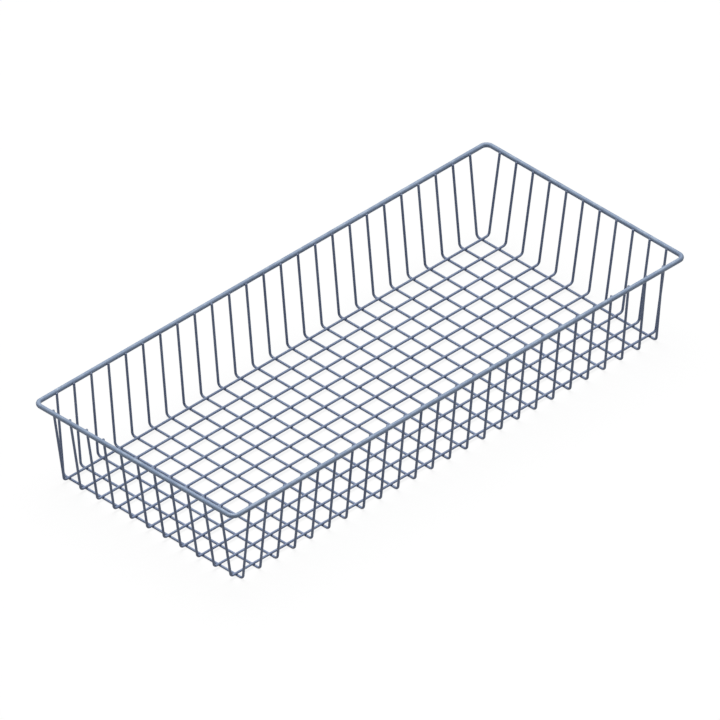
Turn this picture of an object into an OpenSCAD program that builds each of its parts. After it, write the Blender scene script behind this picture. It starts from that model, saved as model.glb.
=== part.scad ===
// Wire locker basket: a heavy rim rod bent into a closed rectangle, and two sets
// of round wires bent into shallow U shapes and welded to it and to each other.
// +X runs along the basket, +Y across it, +Z up. The origin is on the surface that
// the basket stands on, under the middle of the floor.

/* [Basket] */
// Length over the outside of the rim rod
basket_l = 655; // [500:1:800]
// Width over the outside of the rim rod
basket_w = 290; // [220:1:360]
// Height from the underside of the floor to the top of the rim rod
basket_h = 100; // [60:1:160]
// Outward lean of the two short end walls, in degrees from upright
end_lean = 9.4; // [0:0.1:15]
// Outward lean of the two long side walls, in degrees from upright
side_lean = 5.8; // [0:0.1:12]

/* [Rim rod] */
// Diameter of the rim rod
rim_d = 5; // [3.5:0.1:8]
// Inside radius of the four corner bends of the rim rod
rim_bend_r = 5; // [3:0.5:25]

/* [Wires] */
// Diameter of the basket wires
wire_d = 2.5; // [1.6:0.1:3.5]
// Inside radius of the bend where a wire turns from the floor up into a wall
wire_bend_r = 3; // [2:0.5:12]
// Distance from middle to middle of the cross wires, along the basket
cross_pitch = 24.8; // [22:0.1:60]
// Distance from middle to middle of the long wires, across the basket
long_pitch = 24; // [20:0.1:60]
// How far the cut ends of the wires reach above the middle of the rim rod
tip_rise = 1; // [0.6:0.1:1.6]

/* [Welds] */
// How far two wires sink into each other where they are resistance welded
weld_sink = 0.2; // [0.05:0.05:0.4]

/* [Hidden] */
// Facets round a wire or rod in the preview
$fn = 32;
// Bars and bends are drawn this many times too small and then enlarged, so that
// ends which meet also join
enlarge = 100;

wire_r = wire_d / 2;
rim_r = rim_d / 2;

// Heights of the centre lines. The cross wires carry the basket, and the long
// wires lie across them on the inside.
rim_z = basket_h - rim_r;
cross_z = wire_r;
long_z = cross_z + wire_d - weld_sink;

// Centre line of the rim rod
rim_half_l = basket_l / 2 - rim_r;
rim_half_w = basket_w / 2 - rim_r;
rim_turn_r = rim_bend_r + rim_r;
rim_run_l = rim_half_l - rim_turn_r;
rim_run_w = rim_half_w - rim_turn_r;

// Centre line of the bend at the foot of a wall
foot_turn_r = wire_bend_r + wire_r;

// The walls stand against the inside of the rim rod, at this distance between
// the centre lines, measured square to the wire.
seat_gap = rim_r + wire_r - weld_sink;

// Flat half length of a wire on the floor. The wall's centre line crosses the
// height of the rim's at rim_half less the seat, and the bend takes the rest.
function flat_half(rim_half, floor_z, lean) =
    rim_half - seat_gap / cos(lean) - (rim_z - floor_z) * tan(lean)
    - foot_turn_r * tan((90 - lean) / 2);

long_flat = flat_half(rim_half_l, long_z, end_lean);
cross_flat = flat_half(rim_half_w, cross_z, side_lean);

// Wires on each side of the middle one: as many as cross the other set on its
// flat and reach the straight part of the rim rod.
cross_steps = floor(min(long_flat, rim_run_l) / cross_pitch);
long_steps = floor(min(cross_flat, rim_run_w) / long_pitch);
cross_count = 2 * cross_steps + 1;
long_count = 2 * long_steps + 1;

function numbered(name, i) = str(name, i < 10 ? "_0" : "_", i);

// Straight round bar from the origin up along Z
module bar(d, len) {
    scale(enlarge)
        cylinder(d = d / enlarge, h = len / enlarge);
}

// Bend of round bar about Z, from the +X side round towards +Y
module bend(d, turn_r, angle) {
    scale(enlarge)
        rotate_extrude(angle = angle)
            translate([turn_r / enlarge, 0])
                circle(d = d / enlarge);
}

// One corner of the rim, from the middle of a long side to the middle of a short one
module rim_quarter() {
    translate([0, rim_half_w, 0])
        rotate([0, 90, 0])
            bar(rim_d, rim_run_l);
    translate([rim_run_l, rim_run_w, 0])
        bend(rim_d, rim_turn_r, 90);
    translate([rim_half_l, 0, 0])
        rotate([-90, 0, 0])
            bar(rim_d, rim_run_w);
}

// Heavy round rod bent round four corners and butt welded into a closed rim
module rim_rod() {
    color([0.44, 0.50, 0.58])
        translate([0, 0, rim_z])
            for (along = [0, 1])
                for (across = [0, 1])
                    mirror([along, 0, 0])
                        mirror([0, across, 0])
                            rim_quarter();
}

// Half of a wire in the XZ plane, from the middle of the floor out along the flat,
// round the bend at the foot and up the leaning wall to the cut end
module half_wire(flat, floor_z, lean) {
    turn_z = floor_z + foot_turn_r;
    wall_len = (rim_z + tip_rise - turn_z) / cos(lean) + foot_turn_r * tan(lean);
    translate([0, 0, floor_z])
        rotate([0, 90, 0])
            bar(wire_d, flat);
    translate([flat, 0, turn_z]) {
        rotate([90, 90, 0])
            bend(wire_d, foot_turn_r, 90 - lean);
        rotate([0, lean, 0])
            translate([foot_turn_r, 0, 0])
                bar(wire_d, wall_len);
    }
}

// One wire bent into a shallow U, with a wall at each end
module u_wire(flat, floor_z, lean) {
    for (end = [0, 1])
        mirror([end, 0, 0])
            half_wire(flat, floor_z, lean);
}

// Cross wires lie lowest and make the two long side walls
module cross_wire(i) {
    color([0.33, 0.39, 0.46])
        translate([(i - 1 - cross_steps) * cross_pitch, 0, 0])
            rotate([0, 0, 90])
                u_wire(cross_flat, cross_z, side_lean);
}

// Long wires lie on top of the cross wires and make the two short end walls
module long_wire(i) {
    color([0.37, 0.43, 0.50])
        translate([0, (i - 1 - long_steps) * long_pitch, 0])
            u_wire(long_flat, long_z, end_lean);
}

rim_rod();
for (i = [1:cross_count])
    cross_wire(i);
for (i = [1:long_count])
    long_wire(i);
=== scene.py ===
import math
import random

import bpy
from mathutils import Matrix, Vector


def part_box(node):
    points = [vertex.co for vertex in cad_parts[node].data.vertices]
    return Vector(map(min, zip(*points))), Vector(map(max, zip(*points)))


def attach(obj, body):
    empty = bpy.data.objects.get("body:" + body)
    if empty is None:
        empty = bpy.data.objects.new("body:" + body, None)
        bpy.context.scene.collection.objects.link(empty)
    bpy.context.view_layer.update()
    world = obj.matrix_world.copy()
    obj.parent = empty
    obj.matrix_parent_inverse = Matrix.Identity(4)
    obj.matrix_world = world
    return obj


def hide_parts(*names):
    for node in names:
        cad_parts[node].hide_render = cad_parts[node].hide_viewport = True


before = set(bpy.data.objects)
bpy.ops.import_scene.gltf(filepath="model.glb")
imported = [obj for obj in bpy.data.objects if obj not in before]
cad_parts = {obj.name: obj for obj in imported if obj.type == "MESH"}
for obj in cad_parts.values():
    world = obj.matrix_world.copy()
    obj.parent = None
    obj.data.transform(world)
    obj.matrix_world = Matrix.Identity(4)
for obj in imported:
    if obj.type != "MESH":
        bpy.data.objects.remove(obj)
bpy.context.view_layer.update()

# Rim rod: one heavy round steel rod, bent round four corners, butt welded into a
# closed rectangle and powder coated with the rest of the basket. The basket is carried
# and slid by it, so the coating is rubbed a little paler along its top, in patches that
# also paint a highlight there. Its underside is painted a deeper tone as shade.

rim_low, rim_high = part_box("rim_rod")
rim_r = (rim_high.z - rim_low.z) / 2
rim_z = rim_high.z - rim_r
rim_half_l = rim_high.x - rim_r
rim_half_w = rim_high.y - rim_r
rim_bend_inside = 0.005
rim_turn_r = rim_bend_inside + rim_r
coat_thickness = 0.00012
cut_ease = 0.00018
rod_sides = 28
rim_blue = (0.246, 0.322, 0.456, 1)
rim_blue_deep = (0.198, 0.265, 0.388, 1)
rim_blue_rubbed_highlight = (0.358, 0.438, 0.560, 1)


class Socket:
    """An output of a shader node. Sums on it add Math nodes, and add() makes any other."""

    def __init__(self, tree, output=None):
        self.tree = tree
        self.output = output

    def add(self, kind, settings=None, inputs=None, output=0):
        node = self.tree.nodes.new(kind)
        for name, value in (settings or {}).items():
            setattr(node, name, value)
        for name, value in (inputs or {}).items():
            if isinstance(value, Socket):
                self.tree.links.new(value.output, node.inputs[name])
            else:
                node.inputs[name].default_value = value
        return Socket(self.tree, node.outputs[output] if node.outputs else None)

    def math(self, operation, *values):
        return self.add("ShaderNodeMath", {"operation": operation}, dict(enumerate(values)))

    def __add__(self, other):
        return self.math("ADD", self, other)

    def __sub__(self, other):
        return self.math("SUBTRACT", self, other)

    def __rsub__(self, other):
        return self.math("SUBTRACT", other, self)

    def __mul__(self, other):
        return self.math("MULTIPLY", self, other)

    __radd__ = __add__
    __rmul__ = __mul__

    def rise(self, start, end):
        """0 below start, 1 above end, and a smooth step between them."""
        ends = {"Value": self, "From Min": start, "From Max": end}
        return self.add("ShaderNodeMapRange", {"interpolation_type": "SMOOTHSTEP"}, ends)

    def blend(self, colour, other):
        """colour where this is 0, other where it is 1, in a Mix node's colour sockets."""
        return self.add("ShaderNodeMix", {"data_type": "RGBA"}, {0: self, 6: colour, 7: other}, 2)

    def noise(self, size, detail=2.0):
        """Cloudy pattern whose lumps are about this many metres across."""
        return self.add("ShaderNodeTexNoise", {}, {"Vector": self, "Scale": 1 / size, "Detail": detail})


def new_material(name):
    """The material, and a bare socket that makes its first nodes."""
    material = bpy.data.materials.new(name)
    material.use_nodes = True
    material.node_tree.nodes.clear()
    return material, Socket(material.node_tree)


def powder_coat(tree, colour, deep, gathered_and_shaded, wear_and_highlight, wear_and_highlight_colour, wear_and_highlight_roughness):
    """Slate-blue powder coating: clouds of a deeper tone, the fine orange peel of
    melted powder, glossier places where it gathered, painted the deeper tone as
    shade, and places where it wore, which on the rim are also a painted highlight."""
    cloud_size = 0.030
    speck_size = 0.0022
    peel_size = 0.0009
    peel_depth = 0.00008
    clean_roughness = 0.42
    place = tree.add("ShaderNodeTexCoord", output="Object")
    clouds = place.noise(cloud_size, 3.0).rise(0.35, 0.70)
    specks = place.noise(speck_size, 4.0).rise(0.66, 0.74)
    peel = place.noise(peel_size)
    tone = clouds.blend(colour, deep)
    tone = (specks * 0.35).blend(tone, deep)
    # The deeper tone where the coat gathered is painted shade.
    tone = gathered_and_shaded.blend(tone, deep)
    # The worn colour: real wear on the wire ends, paler rubbing plus a painted highlight on the rim's
    # top.
    tone = wear_and_highlight.blend(tone, wear_and_highlight_colour)
    roughness = clean_roughness + clouds * 0.08 + specks * 0.06
    roughness = roughness - gathered_and_shaded * 0.12 + wear_and_highlight * wear_and_highlight_roughness
    bump = tree.add("ShaderNodeBump", {}, {"Strength": 0.6, "Distance": peel_depth, "Height": peel})
    inputs = {"Base Color": tone, "Roughness": roughness, "Normal": bump}
    coat = tree.add("ShaderNodeBsdfPrincipled", {}, inputs)
    tree.add("ShaderNodeOutputMaterial", {}, {"Surface": coat})


def arc(middle, radius, start, end, steps=9):
    """Points of a flat arc, each with the direction in which the rod runs there."""
    points = []
    for step in range(steps + 1):
        angle = start + (end - start) * step / steps
        spot = Vector(middle) + Vector((math.cos(angle), math.sin(angle))) * radius
        points.append((spot, Vector((-math.sin(angle), math.cos(angle)))))
    return points


def eased_end(end, radius, inward):
    """Rings from a sheared face, whose edge the coating rounds over, to the full rod."""
    spot, way = end
    rings = []
    for degrees in (90, 60, 30, 0):
        turn = math.radians(degrees)
        back = inward * cut_ease * (1 - math.sin(turn))
        rings.append((spot + way * back, way, radius - cut_ease * (1 - math.cos(turn))))
    return rings


def ring_faces(here, after, sides):
    """The faces between two rings of points. The rings start at these numbers."""
    faces = []
    for step in range(sides):
        beside = (step + 1) % sides
        faces.append([here + step, after + step, after + beside, here + beside])
    return faces


def rod(name, path, radius, stand, material, closed=False):
    """A round rod swept along a flat path of (point, direction), set by stand. It takes
    the place of the CAD node of that name, and an open one has eased ends."""
    rings = [(spot, way, radius) for spot, way in path]
    if not closed:
        last_end = reversed(eased_end(path[-1], radius, -1))
        rings = eased_end(path[0], radius, 1) + rings[1:-1] + list(last_end)
    points = []
    for spot, way, ring_r in rings:
        side = Vector((way.y, -way.x)) * ring_r
        for step in range(rod_sides):
            angle = 2 * math.pi * step / rod_sides
            flat = spot + side * math.cos(angle)
            points.append(stand @ Vector((flat.x, flat.y, ring_r * math.sin(angle))))
    faces = []
    for ring in range(len(rings) if closed else len(rings) - 1):
        after = (ring + 1) % len(rings)
        faces += ring_faces(ring * rod_sides, after * rod_sides, rod_sides)
    if not closed:
        faces.append(list(range(rod_sides)))
        faces.append([len(points) - 1 - step for step in range(rod_sides)])
    mesh = bpy.data.meshes.new(name + "_coated")
    mesh.from_pydata(points, [], faces)
    for face in mesh.polygons:
        face.use_smooth = len(face.vertices) == 4
    mesh.materials.append(material)
    piece = bpy.data.objects.new(name + "_coated", mesh)
    bpy.context.scene.collection.objects.link(piece)
    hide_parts(name)
    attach(piece, "root")


rim_coating, tree = new_material("rim_coating")
place = tree.add("ShaderNodeTexCoord", output="Object")
height = tree.add("ShaderNodeSeparateXYZ", {}, {0: place}, "Z")
# Paler patches along the top: rubbed wear that also paints the rod's top highlight.
on_top = height.rise(rim_high.z - 0.40 * rim_r, rim_high.z)
rub_size = 0.012
rubs = place.noise(rub_size, 5.0).rise(0.46, 0.66)
# Darker towards the underside: painted shade.
shaded_underside = 1 - height.rise(rim_low.z, rim_low.z + 0.5 * rim_r)
powder_coat(
    tree,
    colour=rim_blue,
    deep=rim_blue_deep,
    gathered_and_shaded=shaded_underside * 0.6,
    wear_and_highlight=on_top * rubs * 0.8,
    wear_and_highlight_colour=rim_blue_rubbed_highlight,
    wear_and_highlight_roughness=-0.10,
)
rim_path = []
for corner, (x, y) in enumerate([(1, 1), (-1, 1), (-1, -1), (1, -1)]):
    middle = (x * (rim_half_l - rim_turn_r), y * (rim_half_w - rim_turn_r))
    rim_path += arc(middle, rim_turn_r, corner * math.pi / 2, (corner + 1) * math.pi / 2)
at_rim_height = Matrix.Translation((0, 0, rim_z))
coated_rim_r = rim_r + coat_thickness
rod("rim_rod", rim_path, coated_rim_r, at_rim_height, rim_coating, closed=True)

# Cross wires: thin hard-drawn round wire, sheared to length and bent into a shallow
# U. They lie lowest and make the two long side walls. The coating gathers where they
# cross the long wires, and is painted a deeper tone there as shade between the wires,
# and it is thin on the sheared ends at the rim.

cross_wires = sorted(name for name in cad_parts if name.startswith("cross_wire"))
long_wires = sorted(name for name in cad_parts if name.startswith("long_wire"))
cross_low, cross_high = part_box(cross_wires[0])
long_low, long_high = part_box(long_wires[0])
wire_r = (cross_high.x - cross_low.x) / 2
cross_places = [sum(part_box(name), Vector()).x / 2 for name in cross_wires]
long_places = [sum(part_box(name), Vector()).y / 2 for name in long_wires]
coated_wire_r = wire_r + coat_thickness
foot_bend_inside = 0.003
foot_turn_r = foot_bend_inside + wire_r
side_lean = math.radians(5.8)
tip_z = cross_high.z - wire_r * math.sin(side_lean)
# The wires carry the rim's coating; their colours are drawn darker than the rim's as painted shade.
wire_blue_shaded = (0.221, 0.284, 0.430, 1)
wire_blue_deep_shaded = (0.180, 0.232, 0.370, 1)
bare_end_colour = (0.070, 0.082, 0.108, 1)


def from_nearest(coordinate, places):
    """How far a coordinate is from the nearest of these evenly spaced places."""
    pitch = places[1] - places[0]
    return coordinate.math("PINGPONG", coordinate - places[0], pitch / 2)


wire_coating, tree = new_material("wire_coating")
place = tree.add("ShaderNodeTexCoord", output="Object")
along = tree.add("ShaderNodeSeparateXYZ", {}, {0: place}, "X")
across = tree.add("ShaderNodeSeparateXYZ", {}, {0: place}, "Y")
height = tree.add("ShaderNodeSeparateXYZ", {}, {0: place}, "Z")
sheared_end = height.rise(cross_high.z - 0.35 * wire_r, cross_high.z - 0.05 * wire_r)
thin_spot_size = 0.0016
thin_spots = place.noise(thin_spot_size, 3.0).rise(0.30, 0.60)
on_floor = 1 - height.rise(long_low.z + 2 * wire_r, long_low.z + 4 * wire_r)
off_cross = from_nearest(along, cross_places).rise(wire_r, 2.6 * wire_r)
off_long = from_nearest(across, long_places).rise(wire_r, 2.6 * wire_r)
# Where floor wires cross, a deeper tone is painted as shade between them.
shaded_crossing = (1 - off_cross) * (1 - off_long) * on_floor
powder_coat(
    tree,
    colour=wire_blue_shaded,
    deep=wire_blue_deep_shaded,
    gathered_and_shaded=shaded_crossing * 0.8,
    wear_and_highlight=sheared_end * thin_spots * 0.8,
    wear_and_highlight_colour=bare_end_colour,
    wear_and_highlight_roughness=0.35,
)


def u_path(out, floor_z, lean):
    """A shallow U from one cut end to the other, in points of (distance out, height).
    out is how far the wire reaches, and floor_z the height of its middle on the floor."""
    tip_out = out - wire_r * math.cos(lean)
    turn_z = floor_z + foot_turn_r
    rise = tip_z - turn_z + foot_turn_r * math.sin(lean)
    flat = tip_out - foot_turn_r * math.cos(lean) - rise * math.tan(lean)
    foot = arc((flat, turn_z), foot_turn_r, -math.pi / 2, -lean)
    half = foot + [(Vector((tip_out, tip_z)), foot[-1][1])]
    mirrored = [(Vector((-spot.x, spot.y)), Vector((way.x, -way.y))) for spot, way in reversed(half)]
    return mirrored + half


# A wire stands across the basket: its path's distance out becomes Y, and its height Z
upright_across = Matrix(((0, 0, 1, 0), (1, 0, 0, 0), (0, 1, 0, 0), (0, 0, 0, 1)))
cross_path = u_path(cross_high.y, cross_low.z + wire_r, side_lean)
for name, x in zip(cross_wires, cross_places):
    stand = Matrix.Translation((x, 0, 0)) @ upright_across
    rod(name, cross_path, coated_wire_r, stand, wire_coating)

# Long wires: the same wire in a longer U. They lie on top of the cross wires, inside
# the basket, and make the two short end walls.

end_lean = math.radians(9.4)
upright_along = Matrix.Rotation(math.pi / 2, 4, "X")
long_path = u_path(long_high.x, long_low.z + wire_r, end_lean)
for name, y in zip(long_wires, long_places):
    stand = Matrix.Translation((0, y, 0)) @ upright_along
    rod(name, long_path, coated_wire_r, stand, wire_coating)

# Floor welds: each long wire is resistance welded to every cross wire. The pressed
# metal squeezes out as a low collar between the two, and the coating rounds it over.

weld_z = (cross_low.z + 2 * wire_r + long_low.z) / 2
ball_sides = 14
ball_rings = 8
dice = random.Random(25)


def ball():
    """Points and faces of a ball of radius 1, in rings from its lowest point up."""
    points = [Vector((0, 0, -1))]
    for ring in range(1, ball_rings):
        climb = math.pi * ring / ball_rings
        for step in range(ball_sides):
            turn = 2 * math.pi * step / ball_sides
            flat = Vector((math.sin(turn), math.cos(turn), 0)) * math.sin(climb)
            points.append(flat - Vector((0, 0, math.cos(climb))))
    top = len(points)
    points.append(Vector((0, 0, 1)))
    faces = []
    for ring in range(ball_rings - 2):
        here = 1 + ring * ball_sides
        faces += ring_faces(here, here + ball_sides, ball_sides)
    for step in range(ball_sides):
        beside = (step + 1) % ball_sides
        faces.append([0, 1 + step, 1 + beside])
        faces.append([top, top - ball_sides + beside, top - ball_sides + step])
    return points, faces


def collars(name, places):
    """One mesh of rounded collars, each a ball of radius 1 set by its own matrix."""
    points, faces = ball()
    mesh = bpy.data.meshes.new(name)
    all_points = [place @ point for place in places for point in points]
    starts = range(0, len(all_points), len(points))
    all_faces = [[start + corner for corner in face] for start in starts for face in faces]
    mesh.from_pydata(all_points, [], all_faces)
    mesh.shade_smooth()
    mesh.materials.append(wire_coating)
    piece = bpy.data.objects.new(name, mesh)
    bpy.context.scene.collection.objects.link(piece)
    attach(piece, "root")


def collar_size(*radii):
    """Scale of one collar: no two welds squeeze out alike."""
    return Matrix.Diagonal([radius * dice.uniform(0.90, 1.08) for radius in radii] + [1])


floor_collar = (1.20 * wire_r, 1.20 * wire_r, 0.46 * wire_r)
floor_welds = [
    Matrix.Translation((x, y, weld_z)) @ collar_size(*floor_collar)
    for x in cross_places
    for y in long_places
]
collars("floor_welds", floor_welds)

# Rim welds: the top of every wall wire is welded to the inside of the rim rod, with
# the same low collar in the groove between the wire and the rod.

rim_collar = (0.45 * wire_r, 1.25 * wire_r, 1.20 * wire_r)
weld_from_rim = rim_r - 0.1 * wire_r


def rim_welds(lean, rim_half, spots, turn):
    """Collars on two opposite sides of the rim, where a leaning wall's wires meet it."""
    tilt = Matrix.Rotation(lean, 4, "Y")
    inward = weld_from_rim * math.cos(lean)
    raised = weld_from_rim * math.sin(lean)
    places = []
    for side in (0, math.pi):
        facing = at_rim_height @ Matrix.Rotation(turn + side, 4, "Z")
        for spot in spots:
            contact = Matrix.Translation((rim_half - inward, spot, raised))
            places.append(facing @ contact @ tilt @ collar_size(*rim_collar))
    return places


collars("end_rim_welds", rim_welds(end_lean, rim_half_l, long_places, 0))
collars("side_rim_welds", rim_welds(side_lean, rim_half_w, cross_places, math.pi / 2))

# Studio: a pale floor under the basket, one broad soft light above and behind it
# and an even glow from all round, with the camera at the photograph's angle.

floor_half = 5.0
floor_z = -0.0001
around = [(-1, -1), (1, -1), (1, 1), (-1, 1)]
floor_corners = [(x * floor_half, y * floor_half, floor_z) for x, y in around]
floor_mesh = bpy.data.meshes.new("floor")
floor_mesh.from_pydata(floor_corners, [], [(0, 1, 2, 3)])
floor = bpy.data.objects.new("floor", floor_mesh)
bpy.context.scene.collection.objects.link(floor)

# The camera and reflections see a pale floor with the basket's shadow on it. The light
# that the floor throws back at the basket is only that of a plain grey one.
floor_paint, tree = new_material("floor_paint")
white = (1, 1, 1, 1)
seen = tree.add("ShaderNodeLightPath", output="Is Camera Ray")
glint = tree.add("ShaderNodeLightPath", output="Is Glossy Ray")
paint = tree.add("ShaderNodeBsdfDiffuse", {}, {"Color": (0.90, 0.90, 0.90, 1)})
shade = tree.add("ShaderNodeBsdfDiffuse", {}, {"Color": (0.22, 0.22, 0.22, 1)})
glow = tree.add("ShaderNodeEmission", {}, {"Color": white, "Strength": 1.0})
glow_share = 0.88
pale = tree.add("ShaderNodeMixShader", {}, {0: glow_share, 1: paint, 2: glow})
in_view = tree.math("MAXIMUM", seen, glint)
surface = tree.add("ShaderNodeMixShader", {}, {0: in_view, 1: shade, 2: pale})
tree.add("ShaderNodeOutputMaterial", {}, {"Surface": surface})
floor_mesh.materials.append(floor_paint)

world = bpy.data.worlds.new("studio")
world.use_nodes = True
world.node_tree.nodes.clear()
tree = Socket(world.node_tree)
seen = tree.add("ShaderNodeLightPath", output="Is Camera Ray")
glow = tree.add("ShaderNodeBackground", {}, {"Color": white, "Strength": 1.0})
ambient_level = 0.26
ambient = tree.add("ShaderNodeBackground", {}, {"Color": white, "Strength": ambient_level})
sky = tree.add("ShaderNodeMixShader", {}, {0: seen, 1: ambient, 2: glow})
tree.add("ShaderNodeOutputWorld", {}, {"Surface": sky})
bpy.context.scene.world = world

softbox = bpy.data.lights.new("softbox", "SUN")
softbox.energy = 3.0
softbox.angle = math.radians(40)
softbox_stand = bpy.data.objects.new("softbox", softbox)
softbox_from = Vector((0.30, 0.33, 1.29))
softbox_stand.rotation_euler = softbox_from.to_track_quat("Z", "Y").to_euler()
bpy.context.scene.collection.objects.link(softbox_stand)

# The camera looks down at the near corner. The middle of the rim lies a little above
# the middle of the frame, at these pixels of the 720 by 720 photograph.

frame_px = 720
px_per_m = 981.9
rim_middle_px = (359.9, 330.36)
camera_distance = 2.5
view_depth = 20
azimuth = math.radians(-45)
elevation = math.radians(35.23)
back = Vector((
    math.sin(azimuth) * math.cos(elevation),
    -math.cos(azimuth) * math.cos(elevation),
    math.sin(elevation),
))
right = Vector((math.cos(azimuth), math.sin(azimuth), 0))
up = back.cross(right)
aim = Vector((0, 0, rim_z))
aim += right * (frame_px / 2 - rim_middle_px[0]) / px_per_m
aim += up * (rim_middle_px[1] - frame_px / 2) / px_per_m
camera = bpy.data.cameras.new("camera")
camera.type = "ORTHO"
camera.ortho_scale = frame_px / px_per_m
camera.clip_end = view_depth
camera_stand = bpy.data.objects.new("camera", camera)
camera_stand.location = aim + back * camera_distance
camera_stand.rotation_euler = back.to_track_quat("Z", "Y").to_euler()
bpy.context.scene.collection.objects.link(camera_stand)
bpy.context.scene.camera = camera_stand

bpy.context.scene.view_settings.view_transform = "Standard"
